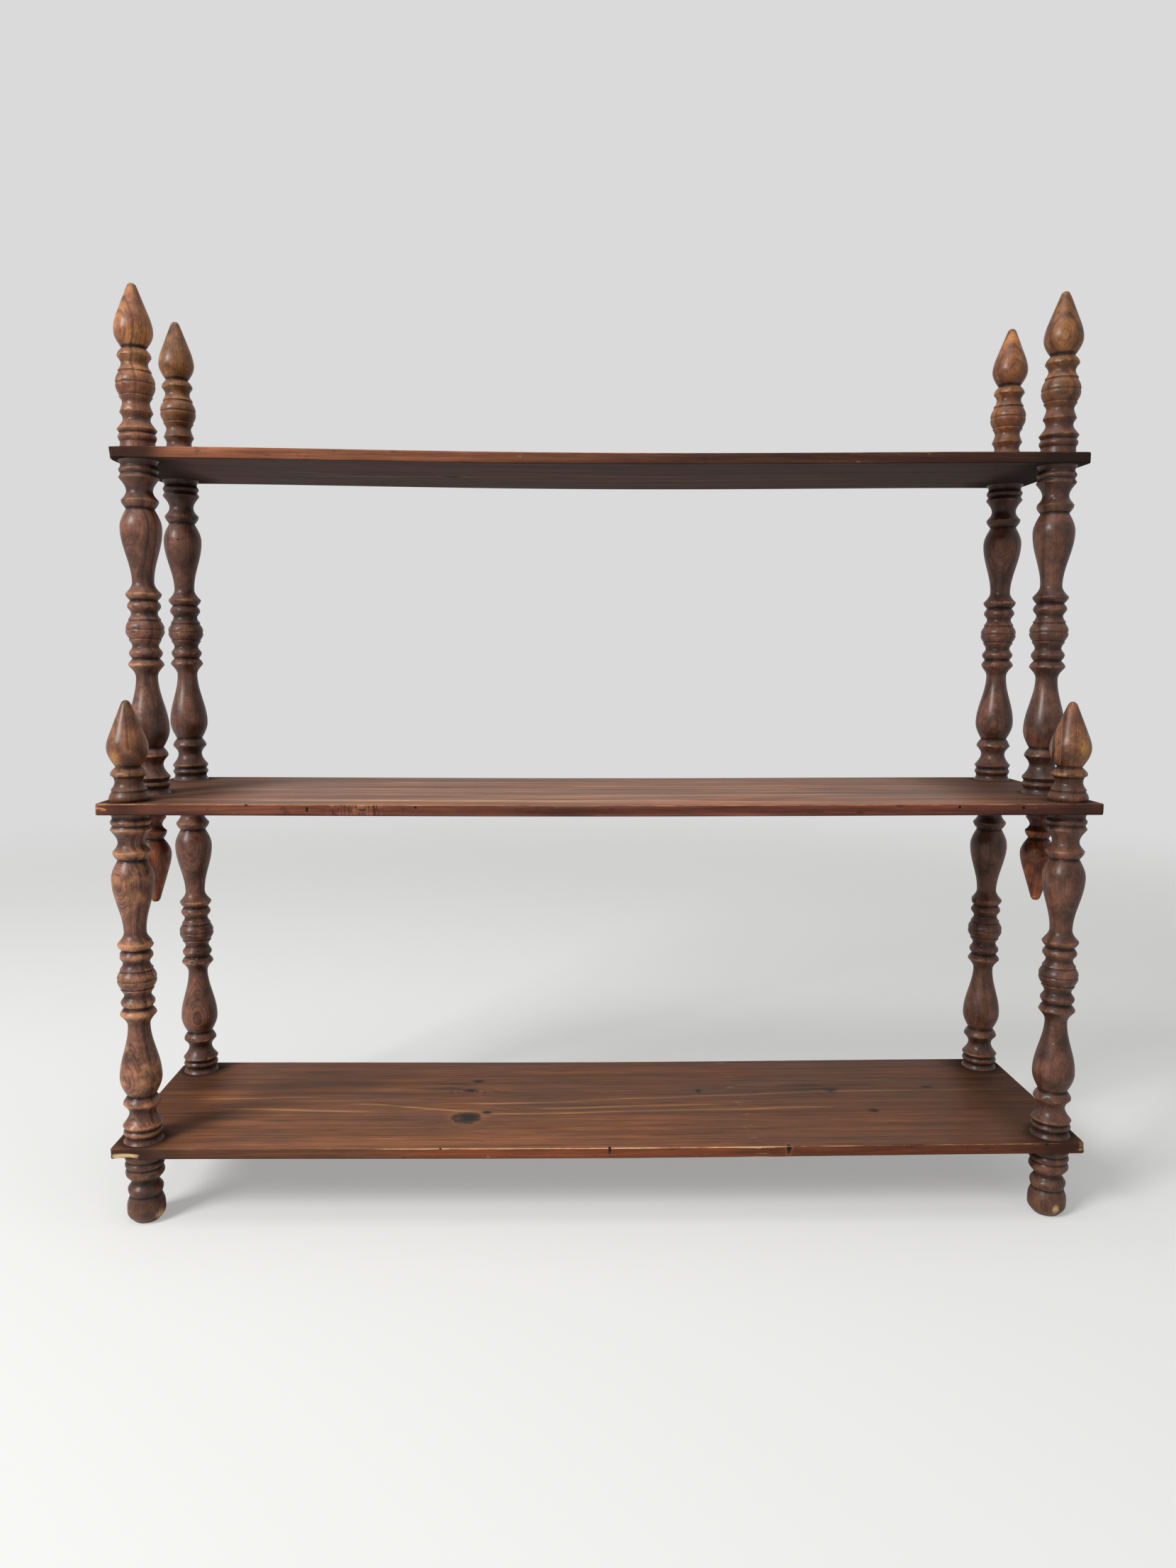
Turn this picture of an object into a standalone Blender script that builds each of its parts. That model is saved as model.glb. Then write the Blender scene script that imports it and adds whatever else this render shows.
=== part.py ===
"""A three-tier shelf of stained softwood: thin planks on turned posts with finials and ball feet."""

import math

import bmesh
import bpy
from mathutils import Matrix, Vector

# Planks, in metres
SHELF_THICKNESS = 0.0085
BAY_HEIGHT = 0.2565          # clear height between two shelves
REAR_CORNER_RADIUS = 0.010
FRONT_CORNER_RADIUS = 0.003
ARRIS = 0.0008               # broken edge all round a plank

# Joinery: a turned tenon goes through the plank into a socket in the piece below
TENON_RADIUS = 0.005
TENON_REACH = 0.010          # length inside the socket
FIT = 0.0003                 # clearance of a tenon in its hole and of a shoulder on its plank

# Radii of the turned members
SEAT_RADIUS = 0.0150         # where a spindle meets a plank
BEAD_RADIUS = 0.0147
QUIRK_RADIUS = 0.0132        # narrow groove beside a bead
RIDGE_RADIUS = 0.0150
COVE_RADIUS = 0.0098
COLLAR_RADIUS = 0.0139
PINCH_RADIUS = 0.0104
VASE_RADIUS = 0.0155
NECK_RADIUS = 0.0082
RING_RADIUS = 0.0134
GROOVE_RADIUS = 0.0101
BAND_RADIUS = 0.0125
FILLET_RADIUS = 0.0119
KNOB_RADIUS = 0.0144
SCRIBE_DEPTH = 0.0006        # line cut round the middle of a knob
NAPE_RADIUS = 0.0087         # under the bulb of a finial
TEARDROP_RADIUS = 0.0141     # tall finial
TEARDROP_SHOULDER_RADIUS = 0.0122
BUD_SEAT_RADIUS = 0.0141     # short finial
BUD_RADIUS = 0.0149
BUD_SHOULDER_RADIUS = 0.0122
DROP_COVE_RADIUS = 0.0071    # pendant
DROP_RING_RADIUS = 0.0105
DROP_PINCH_RADIUS = 0.0077
DROP_RADIUS = 0.0134
DROP_SHOULDER_RADIUS = 0.0115
TIP_RADIUS = 0.0036          # where a tapered end rounds over to its tip
NOSE_RADIUS = 0.0021
BALL_RADIUS = 0.0146         # foot
FOOT_FLAT_RADIUS = 0.0092

# Posts: where their axes stand, and how far the planks reach past them
POST_SPAN = 0.711            # left axis to right axis
UPPER_POST_SPREAD = 0.0995   # rear axis to upper front axis
BASE_SPACING = 0.0179        # bare plank between a front spindle and the short finial before it
END_MARGIN = 0.0195
REAR_MARGIN = 0.0165
TOP_FRONT_MARGIN = 0.016
LOWER_FRONT_MARGIN = 0.019   # on the middle and the bottom shelf

TURN_STEPS = 10              # facets round a turned piece
FACET_RISE = 0.0021          # change of radius over one facet of a curved outline
CORNER_STEPS = 4             # facets of a rounded corner of a plank
CORNER_PROFILE = 0.5         # section of that corner: a quarter circle
HOLE_STEPS = 16
MERGE_DISTANCE = 0.00001

# A turned outline is a row of members: distance along the axis, radius, and how the outline passes
# the member: it rounds over or breaks there, told for the side it arrives on and the side it leaves on.
ROUND = (True, True)
EDGE = (False, False)
EDGE_THEN_ROUND = (False, True)
ROUND_THEN_EDGE = (True, False)

# From either seat of a spindle towards its vase
SPINDLE_END = (
    (0.0000, SEAT_RADIUS, EDGE),
    (0.0040, QUIRK_RADIUS, ROUND),
    (0.0072, BEAD_RADIUS, ROUND),
    (0.0099, QUIRK_RADIUS, EDGE),
    (0.0130, RIDGE_RADIUS, EDGE),
    (0.0228, COVE_RADIUS, ROUND),
    (0.0298, COLLAR_RADIUS, EDGE_THEN_ROUND),
    (0.0362, PINCH_RADIUS, EDGE),
    (0.0506, VASE_RADIUS, ROUND),
)
# From the middle of a spindle towards either neck
SPINDLE_MIDDLE = (
    (0.0000, KNOB_RADIUS - SCRIBE_DEPTH, EDGE),
    (0.0012, KNOB_RADIUS, ROUND),
    (0.0072, FILLET_RADIUS, EDGE),
    (0.0127, COVE_RADIUS, ROUND),
    (0.0180, BAND_RADIUS, ROUND),
    (0.0224, GROOVE_RADIUS, EDGE),
    (0.0276, RING_RADIUS, ROUND_THEN_EDGE),
    (0.0364, NECK_RADIUS, ROUND),
)

# From the seat of a tall finial up to its tip
TALL_FINIAL = (
    (0.0000, QUIRK_RADIUS, EDGE),
    (0.0056, QUIRK_RADIUS, EDGE),
    (0.0088, COLLAR_RADIUS, ROUND),
    (0.0115, QUIRK_RADIUS, EDGE),
    (0.0148, BEAD_RADIUS, EDGE),
    (0.0222, COVE_RADIUS, ROUND),
    (0.0276, FILLET_RADIUS, ROUND),
    (0.0342, COVE_RADIUS, ROUND),
    (0.0394, FILLET_RADIUS, EDGE),
    (0.0468, KNOB_RADIUS, ROUND),
    (0.0480, KNOB_RADIUS - SCRIBE_DEPTH, EDGE),
    (0.0492, KNOB_RADIUS, ROUND),
    (0.0568, FILLET_RADIUS, EDGE),
    (0.0630, COVE_RADIUS, ROUND),
    (0.0682, BAND_RADIUS, EDGE_THEN_ROUND),
    (0.0744, NAPE_RADIUS, EDGE),
    (0.0870, TEARDROP_RADIUS, ROUND),
    (0.0968, TEARDROP_SHOULDER_RADIUS, EDGE),
    (0.1190, TIP_RADIUS, EDGE),
    (0.1215, NOSE_RADIUS, EDGE),
    (0.1223, 0.0, EDGE),
)
# From the seat of a short finial up to its tip
SHORT_FINIAL = (
    (0.0000, BUD_SEAT_RADIUS, EDGE_THEN_ROUND),
    (0.0062, BAND_RADIUS, EDGE),
    (0.0084, FILLET_RADIUS, EDGE),
    (0.0146, COVE_RADIUS, ROUND),
    (0.0190, BAND_RADIUS, EDGE_THEN_ROUND),
    (0.0256, NAPE_RADIUS, EDGE),
    (0.0400, BUD_RADIUS, ROUND),
    (0.0505, BUD_SHOULDER_RADIUS, EDGE),
    (0.0722, TIP_RADIUS, EDGE),
    (0.0747, NOSE_RADIUS, EDGE),
    (0.0755, 0.0, EDGE),
)
# From the seat of a pendant down to its blunt tip
DROP_PENDANT = (
    (0.0000, FILLET_RADIUS, EDGE),
    (0.0042, BAND_RADIUS, ROUND),
    (0.0080, GROOVE_RADIUS, EDGE),
    (0.0116, GROOVE_RADIUS, EDGE),
    (0.0170, DROP_COVE_RADIUS, ROUND),
    (0.0219, DROP_RING_RADIUS, EDGE_THEN_ROUND),
    (0.0281, DROP_PINCH_RADIUS, EDGE),
    (0.0403, DROP_RADIUS, ROUND),
    (0.0510, DROP_SHOULDER_RADIUS, EDGE),
    (0.0770, TIP_RADIUS, EDGE),
    (0.0790, NOSE_RADIUS, EDGE),
    (0.0790, 0.0, EDGE),
)
# From the seat of a foot down to the floor
FOOT = (
    (0.0000, QUIRK_RADIUS, EDGE),
    (0.0040, BEAD_RADIUS, ROUND),
    (0.0074, QUIRK_RADIUS, EDGE),
    (0.0104, BEAD_RADIUS, ROUND),
    (0.0130, QUIRK_RADIUS, EDGE),
    (0.0172, BEAD_RADIUS, ROUND),
    (0.0245, PINCH_RADIUS, ROUND),
    (0.0304, RING_RADIUS, ROUND),
    (0.0354, FILLET_RADIUS, EDGE),
    (0.0456, BALL_RADIUS, ROUND),
    (0.0560, FOOT_FLAT_RADIUS, EDGE),
    (0.0560, 0.0, EDGE),
)

# Heights and depths worked out from the sizes above: the feet stand on z = 0, the rear edges face +Y
STEP_BACK = SEAT_RADIUS + BASE_SPACING + BUD_SEAT_RADIUS
SHELF_PITCH = BAY_HEIGHT + SHELF_THICKNESS
SHELF_WIDTH = POST_SPAN + 2 * END_MARGIN
TOP_DEPTH = REAR_MARGIN + UPPER_POST_SPREAD + TOP_FRONT_MARGIN
LOWER_DEPTH = REAR_MARGIN + UPPER_POST_SPREAD + STEP_BACK + LOWER_FRONT_MARGIN
REAR_EDGE = LOWER_DEPTH / 2
REAR_AXIS = REAR_EDGE - REAR_MARGIN
UPPER_FRONT_AXIS = REAR_AXIS - UPPER_POST_SPREAD
LOWER_FRONT_AXIS = UPPER_FRONT_AXIS - STEP_BACK
FOOT_HEIGHT = FOOT[-1][0]
BOTTOM_SHELF_TOP = FOOT_HEIGHT + FIT + SHELF_THICKNESS
MIDDLE_SHELF_TOP = BOTTOM_SHELF_TOP + SHELF_PITCH
TOP_SHELF_TOP = MIDDLE_SHELF_TOP + SHELF_PITCH
SPINDLE_LENGTH = BAY_HEIGHT - 2 * FIT
TENON_LENGTH = FIT + SHELF_THICKNESS + FIT + TENON_REACH
SOCKET_RADIUS = TENON_RADIUS + FIT
SOCKET_DEPTH = TENON_REACH + FIT

SIDES = {"left": -POST_SPAN / 2, "right": POST_SPAN / 2}


def new_collection(name):
    collection = bpy.data.collections.new(name)
    bpy.context.scene.collection.children.link(collection)
    return collection


def linear(channel):
    """One sRGB channel, 0 to 255, as the linear value that a shader takes."""
    value = channel / 255
    return value / 12.92 if value <= 0.04045 else ((value + 0.055) / 1.055) ** 2.4


def stained_wood(name, red, green, blue, roughness):
    material = bpy.data.materials.new(name)
    material.use_nodes = True
    shader = material.node_tree.nodes["Principled BSDF"]
    shader.inputs["Base Color"].default_value = (linear(red), linear(green), linear(blue), 1.0)
    shader.inputs["Roughness"].default_value = roughness
    shader.inputs["Metallic"].default_value = 0.0
    return material


def ease(share, starts_round, ends_round):
    """How far a curve has come between two radii, level where a member rounds over."""
    if starts_round and ends_round:
        return (1 - math.cos(math.pi * share)) / 2
    if starts_round:
        return 1 - math.cos(math.pi / 2 * share)
    if ends_round:
        return math.sin(math.pi / 2 * share)
    return share


def curve_points(start, end, starts_round, ends_round):
    """Points (distance, radius) after start, up to and with end, by how much the radius changes."""
    straight = not (starts_round or ends_round)
    steps = 1 if straight else max(1, round(abs(end[1] - start[1]) / FACET_RISE))
    points = []
    for step in range(1, steps + 1):
        share = step / steps
        along = start[0] + (end[0] - start[0]) * share
        radius = start[1] + (end[1] - start[1]) * ease(share, starts_round, ends_round)
        points.append((along, radius))
    return points


def outline(members):
    """Points (distance, radius) of a turned outline."""
    points = [members[0][:2]]
    for before, after in zip(members, members[1:]):
        points += curve_points(before[:2], after[:2], before[2][1], after[2][0])
    return points


def spindle_outline():
    """A spindle is the same from either end: seat, vase, neck and half of the middle, then their mirror."""
    half = SPINDLE_LENGTH / 2
    end = outline(SPINDLE_END)
    middle = [(half - along, radius) for along, radius in reversed(outline(SPINDLE_MIDDLE))]
    lower = end + curve_points(end[-1], middle[0], True, True) + middle[1:]
    upper = [(SPINDLE_LENGTH - along, radius) for along, radius in reversed(lower[:-1])]
    return lower + upper


def socket(top):
    """The bore in the top of a piece, from the axis out to its rim, as (height, radius)."""
    floor = top - SOCKET_DEPTH
    return [(floor, 0.0), (floor, SOCKET_RADIUS), (top, SOCKET_RADIUS)]


def tenon():
    """The tenon under a piece that is seated at height 0, from its shoulder in to the axis."""
    return [(0.0, TENON_RADIUS), (-TENON_LENGTH, TENON_RADIUS), (-TENON_LENGTH, 0.0)]


def profile_mesh(name, points):
    """A profile of (height, radius) points, run from the top down, ready to be turned."""
    vertices = [(radius, 0.0, height) for height, radius in points]
    edges = [(i, i + 1) for i in range(len(vertices) - 1)]
    mesh = bpy.data.meshes.new(name)
    mesh.from_pydata(vertices, edges, [])
    return mesh


def turned_piece(name, mesh, location, material):
    piece = bpy.data.objects.new(name, mesh)
    piece.location = location
    piece.parent = origin
    parts.objects.link(piece)
    if not mesh.materials:
        mesh.materials.append(material)
    turning = piece.modifiers.new("turning", "SCREW")
    turning.axis = "Z"
    turning.angle = 2 * math.pi
    turning.steps = TURN_STEPS
    turning.render_steps = TURN_STEPS
    turning.use_merge_vertices = True
    turning.merge_threshold = MERGE_DISTANCE
    turning.use_smooth_shade = True
    return piece


def hole_cutter(name, axes):
    """One upright cylinder for each tenon that passes a plank, flats clear of the tenon by the fit."""
    radius = SOCKET_RADIUS / math.cos(math.pi / HOLE_STEPS)
    mesh = bpy.data.meshes.new(name)
    bm = bmesh.new()
    for x, y in axes:
        bmesh.ops.create_cone(
            bm, cap_ends=True, segments=HOLE_STEPS, radius1=radius, radius2=radius,
            depth=2 * SHELF_THICKNESS, matrix=Matrix.Translation((x, y, 0.0)),
        )
    bm.to_mesh(mesh)
    bm.free()
    cutter = bpy.data.objects.new(name, mesh)
    cutter.hide_render = True
    cutter.display_type = "WIRE"
    cutters.objects.link(cutter)
    return cutter


def round_corners(bm, at_rear, radius):
    """Rounds the upright edges on the rear or the front of a plank."""
    corners = []
    for edge in bm.edges:
        first, second = edge.verts
        upright = abs(first.co.z - second.co.z) > SHELF_THICKNESS / 2
        if upright and (first.co.y > 0) == at_rear:
            corners.append(edge)
    bmesh.ops.bevel(
        bm, geom=corners, offset=radius, segments=CORNER_STEPS, profile=CORNER_PROFILE, affect="EDGES",
    )


def plank(name, depth, top, axes, material):
    """A shelf with rounded corners, broken edges and a hole for each tenon."""
    mesh = bpy.data.meshes.new(name)
    bm = bmesh.new()
    bmesh.ops.create_cube(bm, size=1.0)
    bmesh.ops.scale(bm, vec=Vector((SHELF_WIDTH, depth, SHELF_THICKNESS)), verts=bm.verts)
    round_corners(bm, True, REAR_CORNER_RADIUS)
    round_corners(bm, False, FRONT_CORNER_RADIUS)
    bm.to_mesh(mesh)
    bm.free()
    mesh.materials.append(material)
    shelf = bpy.data.objects.new(name, mesh)
    shelf.location = (0.0, REAR_EDGE - depth / 2, top - SHELF_THICKNESS / 2)
    shelf.parent = origin
    parts.objects.link(shelf)

    arris = shelf.modifiers.new("broken edges", "BEVEL")
    arris.width = ARRIS
    arris.segments = 1
    arris.limit_method = "ANGLE"
    arris.angle_limit = math.radians(60)
    holes = shelf.modifiers.new("tenon holes", "BOOLEAN")
    holes.operation = "DIFFERENCE"
    holes.solver = "EXACT"
    holes.object = hole_cutter(name + "_holes", axes)
    holes.object.location = (0.0, 0.0, top - SHELF_THICKNESS / 2)
    return shelf


def axes_at(*depths):
    return [(x, y) for y in depths for x in SIDES.values()]


for old in list(bpy.data.objects):
    bpy.data.objects.remove(old, do_unlink=True)

parts = new_collection("wall_shelf")
cutters = new_collection("wall_shelf_cutters")
origin = bpy.data.objects.new("wall_shelf_origin", None)
parts.objects.link(origin)

shelf_wood = stained_wood("stained softwood plank", 92, 58, 42, 0.48)
spindle_wood = stained_wood("stained softwood spindle", 76, 50, 42, 0.42)
finial_wood = stained_wood("stained softwood finial", 116, 78, 54, 0.40)
bud_wood = stained_wood("stained softwood short finial", 104, 70, 50, 0.40)
pendant_wood = stained_wood("stained softwood pendant", 88, 52, 36, 0.42)
foot_wood = stained_wood("stained softwood foot", 78, 50, 40, 0.45)

# Planks
plank("top_shelf", TOP_DEPTH, TOP_SHELF_TOP, axes_at(REAR_AXIS, UPPER_FRONT_AXIS), shelf_wood)
plank(
    "middle_shelf", LOWER_DEPTH, MIDDLE_SHELF_TOP,
    axes_at(REAR_AXIS, UPPER_FRONT_AXIS, LOWER_FRONT_AXIS), shelf_wood,
)
plank("bottom_shelf", LOWER_DEPTH, BOTTOM_SHELF_TOP, axes_at(REAR_AXIS, LOWER_FRONT_AXIS), shelf_wood)

# Profiles of the turned pieces, each from its top down
spindle = spindle_outline()
spindle_profile = profile_mesh("spindle_profile", socket(SPINDLE_LENGTH) + spindle[::-1] + tenon())
tall_profile = profile_mesh("tall_finial_profile", outline(TALL_FINIAL)[::-1] + tenon())
short_profile = profile_mesh("short_finial_profile", outline(SHORT_FINIAL)[::-1] + tenon())
pendant_down = [(-along, radius) for along, radius in outline(DROP_PENDANT)]
pendant_profile = profile_mesh("pendant_profile", socket(0.0) + pendant_down)
foot_down = [(-along, radius) for along, radius in outline(FOOT)]
foot_profile = profile_mesh("foot_profile", socket(0.0) + foot_down)

# Turned pieces, a stack on each post axis
for side, x in SIDES.items():
    for place, y in (("rear", REAR_AXIS), ("front", UPPER_FRONT_AXIS)):
        seat = MIDDLE_SHELF_TOP + FIT
        turned_piece(f"upper_spindle_{place}_{side}", spindle_profile, (x, y, seat), spindle_wood)
        seat = TOP_SHELF_TOP + FIT
        turned_piece(f"tall_finial_{place}_{side}", tall_profile, (x, y, seat), finial_wood)
    for place, y in (("rear", REAR_AXIS), ("front", LOWER_FRONT_AXIS)):
        seat = BOTTOM_SHELF_TOP + FIT
        turned_piece(f"lower_spindle_{place}_{side}", spindle_profile, (x, y, seat), spindle_wood)
        turned_piece(f"foot_{place}_{side}", foot_profile, (x, y, FOOT_HEIGHT), foot_wood)
    seat = MIDDLE_SHELF_TOP + FIT
    turned_piece(f"short_finial_{side}", short_profile, (x, LOWER_FRONT_AXIS, seat), bud_wood)
    underside = MIDDLE_SHELF_TOP - SHELF_THICKNESS - FIT
    turned_piece(f"drop_pendant_{side}", pendant_profile, (x, UPPER_FRONT_AXIS, underside), pendant_wood)
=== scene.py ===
import bmesh
import bpy
import math
import numpy as np
from functools import partial
from mathutils import Matrix, Vector, noise


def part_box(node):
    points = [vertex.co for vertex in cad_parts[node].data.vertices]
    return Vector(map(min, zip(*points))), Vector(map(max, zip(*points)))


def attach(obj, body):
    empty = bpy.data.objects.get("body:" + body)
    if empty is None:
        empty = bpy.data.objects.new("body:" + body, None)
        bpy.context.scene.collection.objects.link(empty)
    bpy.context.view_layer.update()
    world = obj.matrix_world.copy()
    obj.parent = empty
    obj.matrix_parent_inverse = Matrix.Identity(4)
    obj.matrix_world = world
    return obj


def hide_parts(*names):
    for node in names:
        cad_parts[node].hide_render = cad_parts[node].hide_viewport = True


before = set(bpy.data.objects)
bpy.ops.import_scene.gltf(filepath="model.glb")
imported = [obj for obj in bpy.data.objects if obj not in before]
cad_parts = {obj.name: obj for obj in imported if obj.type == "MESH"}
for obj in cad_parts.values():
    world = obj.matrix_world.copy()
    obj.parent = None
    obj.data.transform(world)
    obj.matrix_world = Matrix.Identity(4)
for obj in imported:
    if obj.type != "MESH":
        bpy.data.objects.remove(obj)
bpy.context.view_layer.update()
scene = bpy.context.scene
scene.view_settings.view_transform = "Standard"
print("frame loaded:", len(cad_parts), "nodes")


def hexColour(text):  # sRGB hex to the linear colour that a shader takes
    channels = [int(text[i:i + 2], 16) / 255 for i in (1, 3, 5)]
    return [c / 12.92 if c <= 0.04045 else ((c + 0.055) / 1.055) ** 2.4 for c in channels] + [1.0]


# kind may be followed by what the node does; inputs go in the order of its sockets, or by identifier in a
# dictionary; gives back one output
def addNode(tree, kind, *inputs, output=0, **settings):
    kind, *way = kind.split()
    node = tree.nodes.new(kind if "Node" in kind else "ShaderNode" + kind)
    if way:
        settings["operation" if hasattr(node, "operation") else "interpolation_type"] = way[0]
    for key, value in settings.items():
        setattr(node, key, value)
    feeds = {}
    for place, value in enumerate(inputs):
        feeds.update(value if isinstance(value, dict) else {node.inputs[place].identifier: value})
    for key, value in feeds.items():
        socket = next(s for s in node.inputs if s.identifier == key)
        if isinstance(value, bpy.types.NodeSocket):
            tree.links.new(value, socket)
        else:
            socket.default_value = value
    if isinstance(output, str):
        return next(s for s in node.outputs if s.identifier == output)
    return node.outputs[output] if len(node.outputs) else node


def newMaterial(name):  # gives the material, and what adds nodes to it
    material = bpy.data.materials.new(name)
    material.use_nodes = True
    material.node_tree.nodes.clear()
    return material, partial(addNode, material.node_tree)


# camera, floor and light
view = {
    "place": (-0.0435, -0.9086, 0.4404),
    "yaw": 0.0200, "pitch": -0.1136, "roll": 0.0025,   # radians
    "focalPixels": 1572.9, "frame": (1659, 2212),
    "shiftPixels": (29.1, -4.5), "clipStart": 0.02,
}


def makeCamera(look):
    data = bpy.data.cameras.new("photoCamera")
    longSide = max(look["frame"])
    data.lens = look["focalPixels"] / longSide * data.sensor_width
    data.shift_x, data.shift_y = (pixels / longSide for pixels in look["shiftPixels"])
    data.clip_start = look["clipStart"]
    camera = bpy.data.objects.new("photoCamera", data)
    yaw, pitch, roll = look["yaw"], look["pitch"], look["roll"]
    ahead = Vector((math.sin(yaw) * math.cos(pitch), math.cos(yaw) * math.cos(pitch), math.sin(pitch)))
    level = Vector((math.cos(yaw), -math.sin(yaw), 0.0))
    upward = level.cross(ahead)
    right = level * math.cos(roll) + upward * math.sin(roll)
    top = upward * math.cos(roll) - level * math.sin(roll)
    turn = Matrix((right, top, -ahead)).transposed().to_4x4()
    camera.matrix_world = Matrix.Translation(look["place"]) @ turn
    scene.collection.objects.link(camera)
    scene.camera = camera


studio = {
    "backdrop": "#dadada", "floor": "#e9e9e7",
    "floorRadius": 2.6, "floorSides": 96,
    "floorFades": (0.9, 2.47),                    # metres: between these the floor melts into the backdrop
    "floorGlow": 0.4,                             # share of the floor that the camera sees unshaded
    "ambient": 0.25,
    "lamps": {
        "key": {"place": (-2.0, -1.7, 1.9), "size": 1.0, "power": 98},
        "fill": {"place": (1.5, -2.2, 1.3), "size": 1.6, "power": 5},
        "top": {"place": (-0.2, -0.3, 2.4), "size": 1.4, "power": 20},
    },
    "aim": (0.0, 0.0, 0.36),
}


def makeStudio(look):
    world = bpy.data.worlds.new("studio")
    scene.world = world
    world.use_nodes = True
    world.node_tree.nodes.clear()
    add = partial(addNode, world.node_tree)
    path = add("LightPath").node.outputs
    seen = add("Math ADD", path["Is Camera Ray"], path["Is Glossy Ray"])
    seen = add("Math ADD", seen, path["Is Transmission Ray"], use_clamp=True)
    strength = add("MapRange", seen, 0.0, 1.0, look["ambient"], 1.0)
    shine = add("Background", hexColour(look["backdrop"]), strength)
    add("OutputWorld", shine)

    for name, settings in look["lamps"].items():
        lamp = bpy.data.lights.new(name + "Light", "AREA")
        lamp.energy = settings["power"]
        lamp.size = settings["size"]
        holder = bpy.data.objects.new(name + "Light", lamp)
        holder.location = settings["place"]
        toward = Vector(look["aim"]) - holder.location
        holder.rotation_euler = toward.to_track_quat("-Z", "Y").to_euler()
        scene.collection.objects.link(holder)

    mesh = bpy.data.meshes.new("floor")
    bm = bmesh.new()
    bmesh.ops.create_circle(bm, cap_ends=True, segments=look["floorSides"], radius=look["floorRadius"])
    bm.to_mesh(mesh)
    bm.free()
    floor = bpy.data.objects.new("floor", mesh)
    scene.collection.objects.link(floor)
    paint, add = newMaterial("matt pale paper")  # even and without shine, so that only shadows show
    place = add("TexCoord", output="Object")
    away = add("VectorMath LENGTH", place, output="Value")
    gone = add("MapRange SMOOTHSTEP", away, *look["floorFades"])
    paper = add("BsdfDiffuse", hexColour(look["floor"]))
    glow = add("Emission", hexColour(look["floor"]))
    seen = add("LightPath", output="Is Camera Ray")
    seen = add("Math MULTIPLY", seen, look["floorGlow"])
    paper = add("MixShader", seen, paper, glow)
    clear = add("BsdfTransparent")
    both = add("MixShader", gone, paper, clear)
    add("OutputMaterial", both)
    mesh.materials.append(paint)


makeCamera(view)
makeStudio(studio)
print("camera, floor and light placed")

shelfTops = {node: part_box(node)[1].z for node in ("top_shelf", "middle_shelf", "bottom_shelf")}
shelfUndersides = {node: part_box(node)[0].z for node in shelfTops}

# Ranges, here and below: a pattern between the first two numbers gives a value between the last two,
# or between 0 and 1 where there are no more.
rings = {
    "unevenPerYear": 0.45, "uneven": 2.2,           # some years are wider than others
    "fullDark": 0.88, "darkEnds": (0.92, 1.0, 1.0, 0.0),   # shares of a year
}


# wood: growth rings round a pith, fibres along it
def woodFigure(add, log, look):  # log is the place in the tree trunk, in metres from the pith
    sway = add("VectorMath MULTIPLY", log, look["swayPerMetre"])
    sway = add("TexNoise", {"Vector": sway, "Scale": 1.0, "Detail": 2.0}, output="Color")
    sway = add("VectorMath SUBTRACT", sway, (0.5, 0.5, 0.5))
    sway = add("VectorMath SCALE", sway, {"Scale": look["sway"]})
    bent = add("VectorMath ADD", log, sway)
    across = add("VectorMath MULTIPLY", bent, look["across"])
    radius = add("VectorMath LENGTH", across, output="Value")
    if "knots" in look:  # rings bend round a knot
        radius = add("Math ADD", radius, look["knots"])
    years = add("Math DIVIDE", radius, look["ringGap"])
    uneven = add("TexNoise", {"W": years, "Scale": rings["unevenPerYear"], "Detail": 1.0},
                 output="Fac", noise_dimensions="1D")
    years = add("Math MULTIPLY_ADD", uneven, rings["uneven"], years)
    season = add("Math FRACT", years)
    whole = add("Math FLOOR", years)
    rise = add("MapRange SMOOTHSTEP", season, look["summer"], rings["fullDark"])
    fall = add("MapRange SMOOTHSTEP", season, *rings["darkEnds"])
    late = add("Math MULTIPLY", rise, fall)
    year = add("TexWhiteNoise", {"W": whole}, output="Value", noise_dimensions="1D")
    strands = add("VectorMath MULTIPLY", bent, look["strandsPerMetre"])
    fibre = add("TexNoise", {"Vector": strands, "Scale": 1.0, "Detail": 3.0, "Roughness": 0.6},
                output="Fac")
    return late, year, fibre


def awayFrom(add, place, centre, squeeze):  # distance from a centre, each way times its own number
    off = add("VectorMath SUBTRACT", place, centre)
    off = add("VectorMath MULTIPLY", off, squeeze)
    return add("VectorMath LENGTH", off, output="Value")


def shadeBy(add, light, shades):  # each shade is a pattern and its range
    for pattern, *limits in shades:
        share = add("MapRange", pattern, *limits)
        light = add("Math MULTIPLY", light, share)
    return light


def layCoats(add, colour, coats, light=None):  # each coat is (amount, colour), shaded where light is given
    for amount, coat in coats:
        if isinstance(coat, str):
            coat = hexColour(coat)
        if light is not None:
            coat = add("VectorMath SCALE", coat[:3], {"Scale": light})
        colour = add("Mix", {"Factor_Float": amount, "A_Color": colour, "B_Color": coat},
                     output="Result_Color", data_type="RGBA")
    return colour


# marks that both kinds of wood carry: colour, how ragged the rim is, and where it fades (shares of the size)
markLooks = {
    "hole": {"colour": "#0d0806", "ragged": 0.0, "outside": 1.15, "inside": 0.8},
    "bare": {"colour": "#bd9868", "ragged": 3.0, "outside": 1.2, "inside": 0.5},
    "gold": {"colour": "#a8763c", "ragged": 4.5, "outside": 1.5, "inside": 0.1},
    "black": {"colour": "#1b110d", "ragged": 1.4, "outside": 1.3, "inside": 0.5},
}


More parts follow.
